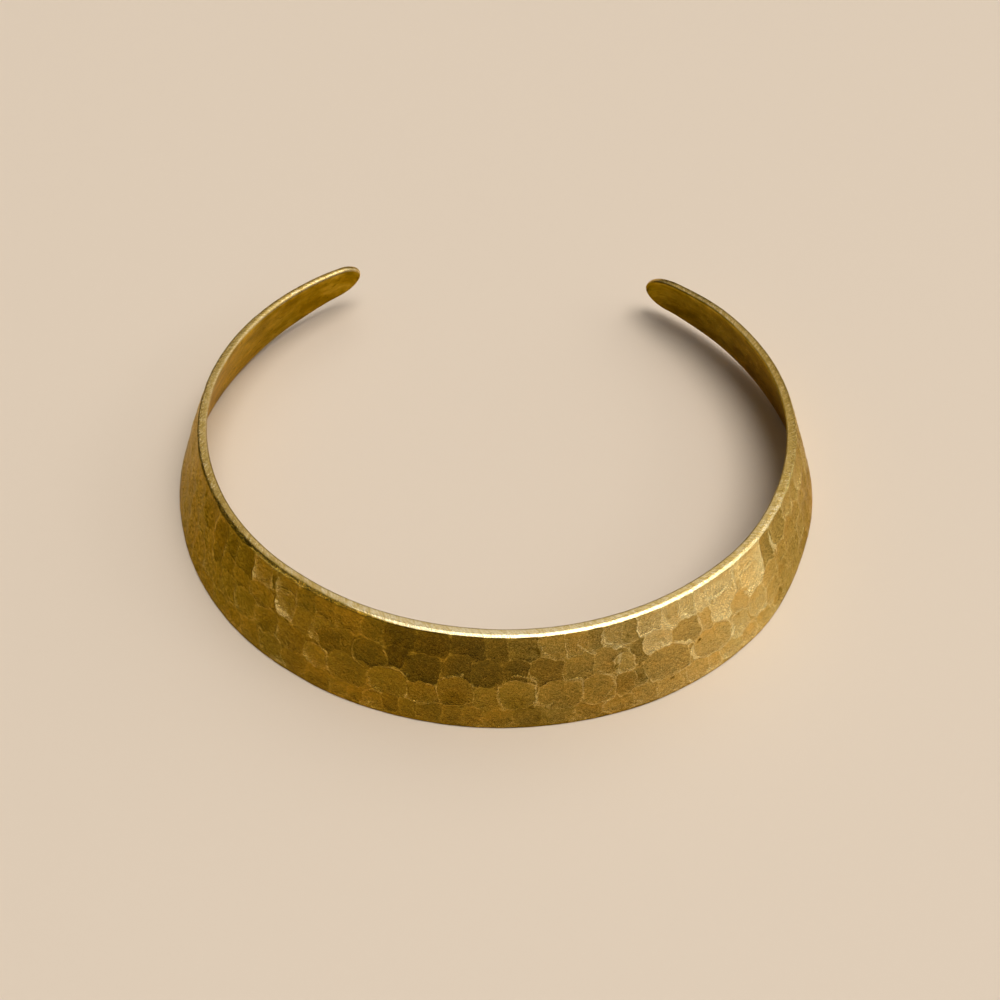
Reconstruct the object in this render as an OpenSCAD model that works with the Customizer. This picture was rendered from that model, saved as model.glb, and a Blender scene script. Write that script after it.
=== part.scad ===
// Rigid collar necklace: one tapered brass band, rolled to a flaring ring
// that is open at the back, where its two rounded tips stand apart.
// It lies on its lower edge with the front of the neck towards -Y.
// The origin is the middle of its footprint, on the surface it lies on.

/* [Rim] */
// Distance across the rim at the sides, outside to outside
rim_across = 130; // [110:1:150]
// Height of the rim at the front of the neck
front_h = 19.8; // [16:0.2:24]
// Height of the rim at the two tips
tip_h = 14.6; // [12:0.2:16]
// How far the rim bows up between front and tips, seen from the side
rim_bow = 1; // [0.5:0.1:2]

/* [Band] */
// Thickness of the brass
wall = 2; // [1.4:0.1:3]
// Angle that the band leans outwards on its way down
flare = 20; // [10:1:25]

/* [Lower edge] */
// How far behind the middle of the ring the lower edge still lies flat
flat_back = 4; // [0:1:15]
// Radius of the curve that lifts the lower edge towards the tips
lift_r = 310; // [260:10:500]

/* [Tips] */
// Angle from the front of the ring round to each tip
tip_angle = 147.2; // [140:0.2:152]
// Radius of the upper corner of each tip
tip_upper_r = 3.8; // [2:0.1:4]
// Radius of the lower corner of each tip
tip_lower_r = 5.6; // [3:0.1:6]

/* [Hidden] */

// Smoothness of the ring's round walls, of the lower edge's curve and of the rim's bow
ring_fn = 240;
edge_fn = 720;
rim_fn = 2880;
// Room by which every cutting shape passes the band
past = 10;

// Radius of the rim, and the distance along Y from its front to its tips
rim_r = rim_across / 2;
rim_run = rim_r * (1 - cos(tip_angle));
// Seen from the side, the rim is an arc through the front, the tips and the bow between them
rim_chord = norm([rim_run, front_h - tip_h]);
rim_arc_r = pow(rim_chord, 2) / (8 * rim_bow) + rim_bow / 2;
rim_slope = atan2(front_h - tip_h, rim_run);
rim_mid = [rim_run / 2 - rim_r, (front_h + tip_h) / 2];
rim_arc_drop = rim_arc_r - rim_bow;
rim_arc_centre = rim_mid - rim_arc_drop * [sin(rim_slope), cos(rim_slope)];

// Heights of the rim and of the lower edge at a place y behind the middle of the ring
function rim_z(y) = rim_arc_centre[1] + sqrt(pow(rim_arc_r, 2) - pow(y - rim_arc_centre[0], 2));
function edge_z(y) = y < flat_back ? 0 : lift_r - sqrt(pow(lift_r, 2) - pow(y - flat_back, 2));

// Radii of the outer and inner walls at height z
base_r = rim_r + rim_z(0) * tan(flare);
function outer_r(z) = base_r - z * tan(flare);
function inner_r(z) = outer_r(z) - wall / cos(flare);

// A tip seen from the middle of the ring: u runs along the band, zero at its very end
function tip_y(u) = tip_mid_r * -cos(tip_angle) + u * sin(tip_angle);
tip_mid_r = outer_r((front_h + tip_h) / 4);
upper_slope = (rim_z(tip_y(0)) - rim_z(tip_y(-tip_upper_r))) / tip_upper_r;
lower_slope = (edge_z(tip_y(0)) - edge_z(tip_y(-tip_lower_r))) / tip_lower_r;
// Each corner's arc meets the rim or the lower edge without a step or a kink
upper_arc_z = rim_z(tip_y(-tip_upper_r)) - tip_upper_r * (1 + pow(upper_slope, 2) / 2);
lower_arc_z = edge_z(tip_y(-tip_lower_r)) + tip_lower_r * (1 + pow(lower_slope, 2) / 2);

// The footprint reaches from the front of the lower edge to the outside of the tips' ends
back_reach = outer_r(lower_arc_z) * -cos(tip_angle);
ring_shift = (base_r - back_reach) / 2;

// The full ring of the band's wall, a slanted strip turned about the ring's axis
module ring() {
    rotate_extrude($fn = ring_fn)
        polygon([
            [inner_r(-past), -past],
            [outer_r(-past), -past],
            [outer_r(front_h + past), front_h + past],
            [inner_r(front_h + past), front_h + past]
        ]);
}

// Side view of the band: X is the distance behind the middle, Y the height
module side_outline() {
    span = base_r + past;
    intersection() {
        union() {
            translate([-span, 0])
                square([span + flat_back, front_h + past]);
            translate([flat_back, lift_r])
                circle(r = lift_r, $fn = edge_fn);
        }
        translate(rim_arc_centre)
            circle(r = rim_arc_r, $fn = rim_fn);
        translate([-span, -past])
            square([2 * span, front_h + 2 * past]);
    }
}

// What a tip loses: everything past its end, and the two corners round their arcs
module tip_outline() {
    translate([0, -past])
        square([base_r, front_h + 2 * past]);
    difference() {
        translate([-tip_upper_r, upper_arc_z])
            square([tip_upper_r + past, tip_upper_r + past]);
        translate([-tip_upper_r, upper_arc_z])
            circle(r = tip_upper_r, $fn = ring_fn);
    }
    difference() {
        translate([-tip_lower_r, lower_arc_z - tip_lower_r - past])
            square([tip_lower_r + past, tip_lower_r + past]);
        translate([-tip_lower_r, lower_arc_z])
            circle(r = tip_lower_r, $fn = ring_fn);
    }
}

// Cuts the tip on the +X side; its outline is pushed outwards through the wall
module tip_cut() {
    rotate([0, 0, tip_angle])
        translate([0, -base_r / 2, 0])
            rotate([90, 0, 0])
                linear_extrude(height = base_r)
                    tip_outline();
}

module collar_band() {
    color([0.72, 0.55, 0.22])
        translate([0, ring_shift, 0])
            difference() {
                intersection() {
                    ring();
                    rotate([90, 0, 90])
                        translate([0, 0, -base_r - past])
                            linear_extrude(height = 2 * (base_r + past))
                                side_outline();
                }
                tip_cut();
                mirror([1, 0, 0])
                    tip_cut();
            }
}

collar_band();
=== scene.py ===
# %% [markdown]
# A hammered brass collar
#
# The real necklace is one strip of sheet brass. A maker saws out a long crescent, hammers its
# outside all over with a polished hammer, rolls it to a ring that flares like a lampshade, and
# files the upper edge flat. It has no clasp: the band springs open by a few millimetres.
# So this lesson has one piece only, and all the care goes into its surface.

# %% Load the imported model
import math
import random

import bpy
import numpy as np
from mathutils import Matrix, Vector, noise


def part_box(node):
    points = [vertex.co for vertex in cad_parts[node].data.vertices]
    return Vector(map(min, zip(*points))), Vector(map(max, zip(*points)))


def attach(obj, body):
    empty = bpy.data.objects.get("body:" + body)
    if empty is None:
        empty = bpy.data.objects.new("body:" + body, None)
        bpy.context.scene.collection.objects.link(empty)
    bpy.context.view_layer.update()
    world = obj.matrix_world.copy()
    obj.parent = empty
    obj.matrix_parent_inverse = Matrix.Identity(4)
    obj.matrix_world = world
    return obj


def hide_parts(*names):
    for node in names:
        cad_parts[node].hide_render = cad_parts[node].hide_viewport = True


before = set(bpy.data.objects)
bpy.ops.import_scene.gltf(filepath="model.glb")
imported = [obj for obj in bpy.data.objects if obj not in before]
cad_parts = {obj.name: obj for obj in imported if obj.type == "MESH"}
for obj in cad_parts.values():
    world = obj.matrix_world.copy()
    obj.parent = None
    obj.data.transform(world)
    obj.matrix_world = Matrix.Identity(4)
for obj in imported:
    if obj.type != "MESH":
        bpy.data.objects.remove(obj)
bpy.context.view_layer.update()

MM = 0.001

# %% [markdown]
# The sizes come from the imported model, so that the modelled band lies in the same place. The
# widest point of the ring is its lower edge, which gives the ring's radius and its middle.
# The rim and the lower edge are the same two side-view arcs as in the construction model.

# %% Sizes of the band
BAND = "collar_band"
low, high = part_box(BAND)
BASE_R = high.x
RING_Y = low.y + BASE_R
WALL = 2.0 * MM
FLARE = math.radians(20)
TIP = math.radians(147.2)
RIM_R = 65 * MM
FRONT_H, TIP_H, RIM_BOW = 19.8 * MM, 14.6 * MM, 1.0 * MM
FLAT_BACK, LIFT_R = 4.0 * MM, 310 * MM

rim_run = RIM_R * (1 - math.cos(TIP))
rim_slope = math.atan2(FRONT_H - TIP_H, rim_run)
rim_arc_r = math.hypot(rim_run, FRONT_H - TIP_H) ** 2 / (8 * RIM_BOW) + RIM_BOW / 2
rim_arc_y = rim_run / 2 - RIM_R - (rim_arc_r - RIM_BOW) * math.sin(rim_slope)
rim_arc_z = (FRONT_H + TIP_H) / 2 - (rim_arc_r - RIM_BOW) * math.cos(rim_slope)


def rim_z(y):
    """Height of the rim at a distance y behind the middle of the ring."""
    return rim_arc_z + np.sqrt(rim_arc_r ** 2 - (y - rim_arc_y) ** 2)


def edge_z(y):
    """Height of the lower edge: on the table in front, lifted towards the tips."""
    past = np.clip(y - FLAT_BACK, 0, None)
    return LIFT_R - np.sqrt(LIFT_R ** 2 - past ** 2)


print("ring radius mm:", round(BASE_R / MM, 2), "middle at y mm:", round(RING_Y / MM, 2))

# %% [markdown]
# The camera stands where the photographer's did: about 47 degrees above the table and 29 cm
# from the ring, square to its front. A lens of about 47 mm on a 36 mm frame gives the same
# perspective. The picture is tilted by a degree and a half, so the camera is rolled by that.

# %% Camera
CAMERA_UP = math.radians(47.0)
CAMERA_AWAY = 290.2 * MM
CAMERA_TURN = math.radians(0.156)
CAMERA_ROLL = math.radians(1.673)
CAMERA_AIM = Vector((0.98 * MM, -11.3 * MM, 0.0))
LENS, CLIP_START = 46.8, 0.01

turn = Matrix.Rotation(CAMERA_TURN, 3, "Z")
forward = turn @ Vector((0, math.cos(CAMERA_UP), -math.sin(CAMERA_UP)))
right = turn @ Vector((1, 0, 0))
upward = right.cross(forward)
roll = Matrix.Rotation(-CAMERA_ROLL, 3, forward)
right, upward = roll @ right, roll @ upward
bpy.ops.object.camera_add()
camera = bpy.context.object
camera.name = "camera"
camera.data.lens = LENS
camera.data.clip_start = CLIP_START
spot = turn @ CAMERA_AIM + Vector((0, RING_Y, 0)) - forward * CAMERA_AWAY
facing = Matrix((right, upward, -forward)).transposed().to_4x4()
camera.matrix_world = Matrix.Translation(spot) @ facing
bpy.context.scene.camera = camera
print("camera at mm:", [round(v / MM, 1) for v in camera.location])

# %% [markdown]
# The band could be cut out of a cone with booleans, but hammer marks need an even grid of
# small faces. So the cross-section is drawn once and spun round the ring, which lays one
# column of faces beside the other. First comes the section: a plane as wide as the wall is
# thick and as high as the band, with rounded corners and more points where more will happen.

# %% Draw the cross-section
WIDTH = 21.0 * MM
CORNER = 0.4 * MM
OUTER_ROWS, INNER_ROWS, EDGE_ROWS = 64, 10, 4


def deselect_all():
    """Leaves edit mode and selects nothing."""
    if bpy.context.object and bpy.context.object.mode == "EDIT":
        bpy.ops.object.mode_set(mode="OBJECT")
    bpy.ops.object.select_all(action="DESELECT")


def read_points(mesh):
    """The mesh's points as a table of x, y, z."""
    flat = np.empty(len(mesh.vertices) * 3)
    mesh.vertices.foreach_get("co", flat)
    return flat.reshape(-1, 3)


def select_edges(obj, wanted):
    """Selects the edges whose two ends, as tables of points, pass the test, in edit mode."""
    bpy.ops.object.mode_set(mode="EDIT")
    bpy.ops.mesh.select_mode(type="EDGE")
    bpy.ops.mesh.select_all(action="DESELECT")
    bpy.ops.object.mode_set(mode="OBJECT")
    ends = np.empty(len(obj.data.edges) * 2, dtype=np.int32)
    obj.data.edges.foreach_get("vertices", ends)
    points = read_points(obj.data)
    obj.data.edges.foreach_set("select", wanted(points[ends[0::2]], points[ends[1::2]]))
    bpy.ops.object.mode_set(mode="EDIT")


deselect_all()
bpy.ops.mesh.primitive_plane_add(size=1, location=(0, 0, WIDTH / 2), rotation=(0, math.pi / 2, 0))
collar = bpy.context.object
collar.name = "planished_collar"
collar.scale = (WIDTH, WALL, 1)
bpy.ops.object.transform_apply(location=True, rotation=True, scale=True)
bpy.ops.object.mode_set(mode="EDIT")
bpy.ops.mesh.select_all(action="SELECT")
bpy.ops.mesh.bevel(offset=CORNER, offset_type="OFFSET", segments=4, affect="VERTICES")
NEAR = CORNER / 100
for rows, wanted in (
    (OUTER_ROWS, lambda a, b: np.minimum(a[:, 1], b[:, 1]) > WALL / 2 - NEAR),
    (INNER_ROWS, lambda a, b: np.maximum(a[:, 1], b[:, 1]) < NEAR - WALL / 2),
    (EDGE_ROWS, lambda a, b: np.minimum(a[:, 2], b[:, 2]) > WIDTH - NEAR),
    (EDGE_ROWS, lambda a, b: np.maximum(a[:, 2], b[:, 2]) < NEAR),
):
    select_edges(collar, wanted)
    bpy.ops.mesh.subdivide(number_cuts=rows - 1)
bpy.ops.mesh.select_mode(type="VERT")
bpy.ops.mesh.select_all(action="SELECT")
bpy.ops.mesh.delete(type="ONLY_FACE")
bpy.ops.object.mode_set(mode="OBJECT")
print("points in the section:", len(collar.data.vertices))

# %% [markdown]
# Spinning slows down with every step, because all earlier steps are still in the mesh. So the
# section is slid out to the ring's radius and spun in 120 coarse steps, and then each step is
# subdivided into eight columns. The straight pieces between the coarse steps don't matter,
# because the next cells put every point in its exact place.

# %% Spin the section round the ring
COARSE_STEPS = 120
COLUMNS = COARSE_STEPS * 8
FRONT = COLUMNS // 2
HAIR = 1e-5

deselect_all()
collar.select_set(True)
bpy.context.view_layer.objects.active = collar
bpy.ops.object.mode_set(mode="EDIT")
bpy.ops.mesh.select_all(action="SELECT")
bpy.ops.transform.translate(value=(0, BASE_R, 0))
bpy.ops.mesh.select_all(action="SELECT")
bpy.ops.mesh.spin(steps=COARSE_STEPS, angle=2 * TIP, center=(0, 0, 0), axis=(0, 0, 1))
bpy.ops.object.mode_set(mode="OBJECT")


def spun_by(points):
    """How far each point has been spun, from 0 to twice the tip angle."""
    turned = np.arctan2(points[:, 0], points[:, 1])
    return np.mod(turned + HAIR, 2 * math.pi) - HAIR


select_edges(collar, lambda a, b: np.abs(spun_by(a) - spun_by(b)) > TIP / COLUMNS)
bpy.ops.mesh.subdivide(number_cuts=COLUMNS // COARSE_STEPS - 1)
bpy.ops.object.mode_set(mode="OBJECT")
print("points:", len(collar.data.vertices), "faces:", len(collar.data.polygons))

# %% [markdown]
# Every point of the spun mesh now gets its place in the real band. Three numbers say where a
# point belongs: the column it is in, how deep it lies in the wall, and how high it is in the
# section. They are read off the mesh once, and the shape follows from them by plain sums.

# %% Read where each point belongs
step = 2 * TIP / COARSE_STEPS
spun = read_points(collar.data)
swept = spun_by(spun)
off_middle = np.mod(swept, step) - step / 2
straightened = np.cos(off_middle) / math.cos(step / 2)
radius = np.hypot(spun[:, 0], spun[:, 1]) * straightened
column = np.rint(swept / (2 * TIP) * COLUMNS).astype(int)
deep = np.clip((BASE_R + WALL / 2 - radius) / WALL, 0, 1)
section_z = spun[:, 2].copy()
print("depth in the wall:", deep.min(), "to", deep.max(), "columns:", column.min(), column.max())

# %% [markdown]
# Four small helpers serve the charts, the hammering and the wear: a soft step, from which
# nearly every mask is made, the same step at both ends of a stretch of the ring, a mix of two
# values, and smooth random numbers.

# %% Helpers for the shape


def soft_step(value):
    """A soft step from 0 to 1."""
    value = np.clip(value, 0, 1)
    return value * value * (3 - 2 * value)


def along_ring(degrees, start, full, still_full, end):
    """1 along a stretch of the ring, which fades in from start to full and out again to end."""
    return soft_step((degrees - start) / (full - start)) * soft_step((end - degrees) / (end - still_full))


def mixed(first, second, share):
    """What lies between two values, at a share of the way from the first to the second."""
    return first + (second - first) * share


def wander(arc, down, seed, pitch):
    """Smooth random numbers over the unrolled band, about -1 to 1, with bumps a pitch apart."""
    return np.array([noise.noise(Vector((a / pitch, d / pitch, seed))) for a, d in zip(arc, down)])


print("soft step, a quarter of the way:", soft_step(0.25))

# %% [markdown]
# A real band made by hand is nowhere quite true. These short charts give how far the rim and
# the lower edge stray, read off the photograph every ten or twenty degrees round the ring.
# The angle counts from the front of the neck, and it is negative on the wearer's right side.

# %% Charts of what strays
# angle in degrees, then outwards in mm for the rim, and for the lower edge
OUT_OF_ROUND = (
    (-148, 0, 0), (-120, 0, -0.1), (-95, 0, 0.1), (-75, 0.05, 0), (-50, 0.2, 0.25), (-30, -0.05, 0),
    (-10, -0.2, -0.2), (10, 0.05, -0.2), (30, 0.15, 0.2), (50, 0.1, 0.4), (68, -0.25, -0.2),
    (88, -0.1, 0.3), (110, 0.1, 0), (130, 0.2, -0.1), (148, 0, 0),
)
# angle in degrees, then upwards in mm for the rim, and for the lower edge
OUT_OF_LEVEL = (
    (-148, -0.4, 0), (-138, 0, 0), (-100, 0, 0), (-45, 0.1, 0), (-15, -0.1, 0), (10, 0, 0), (35, 0.15, 0),
    (65, -0.15, 0), (100, 0, 0), (125, 0.2, -0.2), (139, -0.4, -1.2), (148, -1.9, -2),
)
# angle in degrees, then how far the filed corners of the rim reach, in mm:
# down the outside, across the rim from the outside, and round the inner corner
FILED_CORNERS = (
    (-148, 0.4, 0.4, 1.2), (-125, 0.35, 0.35, 1.3), (-105, 0.3, 0.3, 0.7), (-80, 0.35, 0.3, 0.5),
    (-66, 0.32, 0.4, 0.45), (-55, 0.34, 0.5, 0.45), (-48, 0.42, 0.5, 0.45), (-36, 0.44, 0.55, 0.45),
    (-24, 0.36, 0.52, 0.45), (-8, 0.26, 0.55, 0.5), (20, 0.25, 0.55, 0.5), (50, 0.25, 0.54, 0.45),
    (66, 0.32, 0.5, 0.4), (80, 0.3, 0.35, 0.35), (105, 0.3, 0.3, 0.5), (148, 0.35, 0.4, 0.75),
)


def chart(rows, entry, angle):
    """A chart's entry at each angle, with soft bends between its rows."""
    table = np.array(rows, dtype=float)
    degrees = np.degrees(angle)
    spot_no = np.clip(np.searchsorted(table[:, 0], degrees) - 1, 0, len(table) - 2)
    start, end = table[spot_no], table[spot_no + 1]
    share = soft_step((degrees - start[..., 0]) / (end[..., 0] - start[..., 0]))
    return mixed(start[..., entry], end[..., entry], share)


print("rim strays by mm:", min(r[1] for r in OUT_OF_ROUND), "to", max(r[1] for r in OUT_OF_ROUND))

# %% [markdown]
# The columns stand closer together in front, where the eye lingers, and they crowd once more
# in the last few millimetres before each tip. There the outline closes in half an ellipse: the
# rim comes down and the lower edge comes up, and they meet in the last column.

# %% Outline of the band, column by column
TIP_ZONE = 7.0 * MM
TIP_UPPER_REACH = 6.0 * MM
TIP_LOWER_REACH = 6.2 * MM
UPPER_SHARE = 0.46
FRONT_PITCH = 0.75
# the angle, in radians, behind which the lower edge may stray from its arc
LIFTED_FROM = 1.6


def outer_r(z):
    """Radius of the band's outside at a height."""
    return BASE_R - z * math.tan(FLARE)


tip_r = outer_r((FRONT_H + TIP_H) / 4)
calm = 1 - TIP_ZONE / (tip_r * TIP)
calm_end = calm / (calm + (1 - calm) * math.pi / 2)


def column_angle(number):
    """Angle of a column from the front, positive on the +X side."""
    share = 1 - 2 * number / COLUMNS
    reach = np.abs(share)
    in_calm = np.clip(reach / calm_end, 0, 1)
    in_zone = np.clip((reach - calm_end) / (1 - calm_end), 0, 1)
    turned = calm * in_calm * (FRONT_PITCH + (1 - FRONT_PITCH) * in_calm ** 2)
    turned = turned + (1 - calm) * np.sin(in_zone * math.pi / 2)
    return np.sign(share) * TIP * turned


def outline(angle, inward):
    """Top and bottom of the band at an angle, for a place so far inward in the wall."""
    past_tip = tip_r * (np.abs(angle) - TIP)
    top = np.full_like(past_tip, FRONT_H)
    bottom = np.zeros_like(past_tip)
    # the radius depends on the height and the height on the radius, so a few rounds bring both
    for _ in range(4):
        top = rim_z(-(outer_r(top) - inward) * np.cos(angle))
        bottom = edge_z(-(outer_r(bottom) - inward) * np.cos(angle))
    top = top + chart(OUT_OF_LEVEL, 1, angle) * MM
    lifted = np.clip(np.abs(angle) - LIFTED_FROM, 0, 1)
    bottom = bottom + chart(OUT_OF_LEVEL, 2, angle) * MM * lifted
    tall = top - bottom
    into_upper = np.clip(1 + past_tip / TIP_UPPER_REACH, 0, 1)
    into_lower = np.clip(1 + past_tip / TIP_LOWER_REACH, 0, 1)
    top = top - tall * UPPER_SHARE * (1 - np.sqrt(1 - into_upper ** 2))
    bottom = bottom + tall * (1 - UPPER_SHARE) * (1 - np.sqrt(1 - into_lower ** 2))
    return past_tip, top, bottom


angles = column_angle(np.arange(COLUMNS + 1))
past_tip, top, bottom = outline(angles, WALL / 2)
print("columns stand mm apart:", round(float(angles[FRONT - 1] * tip_r / MM), 3), "in front")
print("tip outline, last mm:", np.round(past_tip[:4] / MM, 3), np.round(top[:4] / MM, 2))

# %% [markdown]
# The corners of the wall are rounded, so their points lie a little inside the outline. The
# rounding must follow the outline round the tips too. So each column gets the direction that
# points straight out of its outline, and a corner point is drawn back along it.

# %% Directions out of the outline


def outward(height, side):
    """Direction out of the top or bottom outline, column by column, as (along, up)."""
    along = np.gradient(past_tip)
    up = np.gradient(height)
    along[:FRONT] *= -1
    up[:FRONT] *= -1
    along[FRONT] = 1
    up[FRONT] = 0
    length = np.hypot(along, up)
    out_along, out_up = -side * up / length, side * along / length
    out_along[[0, -1]], out_up[[0, -1]] = 1, 0
    return out_along, out_up


top_along, top_up = outward(top, 1)
bottom_along, bottom_up = outward(bottom, -1)
print("rim at the front points:", round(float(top_up[FRONT]), 3), "up")

# %% [markdown]
# Here is the chart of the hammer blows on the front, row by row and in the order in which they fell: the
# blows struck last cut into the earlier ones and show their whole round outline. A blow is written as its
# angle, how many mm it lies below the rim, half its width and half its height in mm, its tone from -3 for
# the dark olive ones to 3 for those that catch the window, and how crisp the edge is that it left, from 0 to
# 1. The dark tones are the skin's own colour; the bright ones are a painted sheen, the window's light put
# into the colour of those dishes.

# %% Chart of the hammer blows
ROW_UNDER_RIM = (
    (-67.4, 4.6, 3, 3.8, -0.5, 0.3), (-61, 4.6, 3.3, 4, -0.8, 0.5), (-55.6, 5, 2.9, 3.8, -2, 0.6),
    (-51.6, 5.4, 2.6, 4.6, -1.9, 0.5), (-47.4, 5.2, 3.1, 4.8, -1.7, 0.5), (-36.9, 2.4, 3.3, 3, 1, 0.5),
    (-32.4, 3, 2.7, 3.3, -0.3, 0.3), (-28.7, 2.8, 2.9, 3.3, 0, 0.2), (-24.3, 2.9, 3.1, 3.3, 0.3, 0.1),
    (-19.8, 2.4, 2.6, 2.9, -1, 0.4), (-14.9, 2.8, 3.6, 3.4, -2, 0.2), (-9.4, 2.8, 3.5, 3.4, -2.1, 0.1),
    (-3.6, 2.9, 3.6, 3.4, -2.2, 0.2), (1.6, 2.9, 2.8, 3.3, -1.2, 0.1), (5.9, 2.8, 3.5, 3.3, -0.8, 0.3),
    (10.7, 2.8, 2.9, 3.3, 0.3, 0.4), (14.7, 2.8, 2.8, 3.4, 0.6, 0.6), (17.9, 2.2, 2, 2.8, -1, 0.1),
    (20.9, 2.9, 2.5, 2.9, 0.6, 0.7), (23.9, 2.6, 2.1, 2.9, -0.7, 0.3), (27.6, 2.4, 3, 2.8, 1, 1),
    (31.9, 2.7, 2.5, 3.2, 0.8, 0.5), (35.2, 2.8, 2.2, 3, 1, 0.5), (38.3, 2.6, 2.2, 3.2, 1.8, 0.5),
    (42.6, 2, 4.3, 2.8, 1.5, 1), (61.6, 3.6, 3.9, 4.2, -0.6, 0.9), (56.3, 4.4, 2.9, 4.9, -1.4, 0.9),
    (50.4, 2.2, 4.6, 2.9, 1.7, 1), (-42.8, 2.8, 2.9, 3.5, 1.4, 0.8),
)
ROW_SECOND = (
    (-67, 10, 3, 3, 0.2, 0.2), (-62.8, 9.8, 3, 2.8, 0.5, 0.3), (-59, 10, 2.8, 3.1, -0.3, 0.4),
    (-55.3, 10.2, 2.8, 2.8, -1.5, 0.5), (-51.6, 9.4, 2.6, 3, -1.1, 0.4), (-47.6, 9, 3, 2.4, -0.8, 0.4),
    (-42.3, 8.2, 3.5, 2.9, -0.3, 0.5), (-33, 8, 2.8, 3, 0, 0.2), (-29, 7.5, 2.8, 3.2, 0.4, 0.1),
    (-24.6, 8, 2.9, 2.9, -0.3, 0.2), (-27.3, 8.9, 2.7, 2.6, -0.8, 0.4), (-15.1, 7.7, 2.5, 2.7, -2.5, 0.3),
    (-4.6, 7.6, 3.4, 2.9, -2, 0.2), (-10.7, 8.9, 3.9, 3.3, -2.3, 0.5), (-19.8, 8.4, 3.5, 3.1, -1.5, 0.5),
    (-0.2, 8.4, 3.4, 3.3, -2, 0.3), (4.5, 7.7, 2.6, 2.7, -2.2, 0.3), (14.7, 8.6, 3.8, 3.4, -0.3, 0.3),
    (9.2, 8.5, 3.5, 3.3, -1.3, 0.6), (19.2, 7.9, 2.5, 3.1, -0.2, 0.2), (25.3, 7.9, 2.4, 2.8, -1.2, 0.4),
    (22.4, 9.7, 2.2, 2.6, 0.8, 0.8), (28.8, 7.3, 3.3, 2.6, 1.3, 0.6), (38.9, 8.3, 2.3, 2.9, -0.4, 0.4),
    (34.3, 8.3, 3.5, 3.1, -1, 0.7), (60.6, 9.8, 3.2, 3.2, 0, 0.3), (56, 10.8, 2.9, 3, -0.2, 0.3),
    (50.9, 6.7, 4.1, 3.2, 1.8, 1), (43.3, 7.6, 3.9, 3.3, 1.6, 1), (46.8, 10.2, 3, 3.2, 0.3, 0.5),
    (66, 9, 3.4, 3.4, 0.1, 0.2), (-36.7, 6.1, 2.8, 3, 1.5, 0.9),
)
ROW_LOWEST = (
    (-66, 18.2, 2.9, 2.4, -0.2, 0.2), (-61, 18.2, 3, 2.4, 0.2, 0.2), (-56.4, 18.2, 2.8, 2.4, -0.1, 0.2),
    (-51.5, 17.9, 3, 2.6, 0.4, 0.3), (-47.4, 18.2, 2.8, 2.4, 0, 0.2), (-43, 17.9, 3, 2.5, -0.5, 0.3),
    (-33.2, 18, 3.1, 2.4, -0.2, 0.2), (-38.2, 17.6, 2.9, 2.5, 0.2, 0.6), (-28.3, 18.3, 2.8, 2.3, 0, 0.2),
    (-24.3, 18.2, 2.3, 2.3, 0.3, 0.2), (-21.2, 18, 1.9, 2, -0.2, 0.3), (-15.6, 18.1, 1.8, 2.1, -0.7, 0.2),
    (-18.4, 17.9, 1.9, 1.8, 0.3, 0.6), (-12.5, 18, 2.2, 2.2, 0, 0.2), (-9, 17.9, 2.6, 2.2, -0.3, 0.4),
    (-5.6, 18.2, 2, 2.1, 0, 0.3), (-2.4, 18.2, 2.2, 2.2, 0.2, 0.1), (1.5, 18.4, 3, 2.2, 0.2, 0.2),
    (6, 18.3, 3, 2.2, -0.3, 0.2), (11, 18.4, 2.9, 2.2, 0, 0.2), (16, 18.2, 2.9, 2.3, -0.2, 0.3),
    (26, 18.4, 2.5, 2.2, 0, 0.2), (21, 18.5, 3, 2.2, 0, 0.6), (30, 18.3, 3, 2.2, -0.2, 0.2),
    (35.7, 18.3, 2.9, 2.2, 0.2, 0.3), (39.2, 18.4, 2, 2.1, 0.3, 0.3), (47.5, 18.4, 2.8, 2.2, 0.7, 0.3),
    (43, 18.1, 3.2, 2.3, 0.6, 0.6), (52, 18, 2.7, 2.2, 0, 0.2), (57.6, 17.4, 2.9, 2.3, -1, 0.4),
    (61, 17.6, 2.8, 2.3, 0, 0.2), (65.5, 17.6, 2.9, 2.3, 0.1, 0.2),
)
ROW_THIRD = (
    (-66.5, 14.2, 3, 2.8, 0, 0.2), (-61.8, 14, 3, 2.8, 0, 0.3), (-57, 14.2, 2.9, 2.7, 0.2, 0.3),
    (-53.5, 13.6, 2.6, 2.9, 0.3, 0.2), (-50.4, 13.2, 3.1, 3.1, 0.2, 0.6), (-45.4, 12.8, 3.5, 3, -0.3, 0.3),
    (-39.8, 12.9, 3.1, 2.8, -0.8, 0.7), (-34.3, 13.1, 3.7, 3, -0.5, 0.3), (-29.2, 13.7, 2.7, 2.5, 0.6, 0.8),
    (-23.3, 13.4, 4.3, 3.2, 0, 0.4), (-10.7, 14, 3, 2.4, 0.4, 0.5), (-16.2, 13.1, 3.8, 3.2, 0.2, 0.9),
    (-0.5, 14, 2.7, 2.7, 0.3, 0.3), (-5.5, 12.9, 3.4, 3.4, -0.1, 0.8), (11.4, 13.9, 4.4, 3.2, -0.2, 0.5),
    (4.5, 13.3, 3.7, 3.3, 0.3, 1), (24.9, 13.6, 1.8, 2.6, -0.8, 0.3), (22, 14.3, 2.4, 2.8, -1.1, 0.5),
    (17.9, 14, 3.3, 3.4, -0.6, 0.8), (30.2, 13.1, 5.5, 3.6, -0.7, 0.5), (45.6, 14.2, 3.2, 2.7, 0.8, 0.3),
    (39.5, 13.7, 5.2, 3.2, -0.4, 0.8), (51.3, 12.8, 3, 3.1, 0.5, 0.5), (56, 14.6, 2.9, 2.7, 0, 0.2),
    (60.5, 14, 2.9, 2.7, 0, 0.2), (65.2, 13.6, 2.9, 2.7, 0, 0.2),
)
charted_blows = ROW_UNDER_RIM + ROW_SECOND + ROW_LOWEST + ROW_THIRD
print("charted blows:", len(charted_blows))

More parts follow.
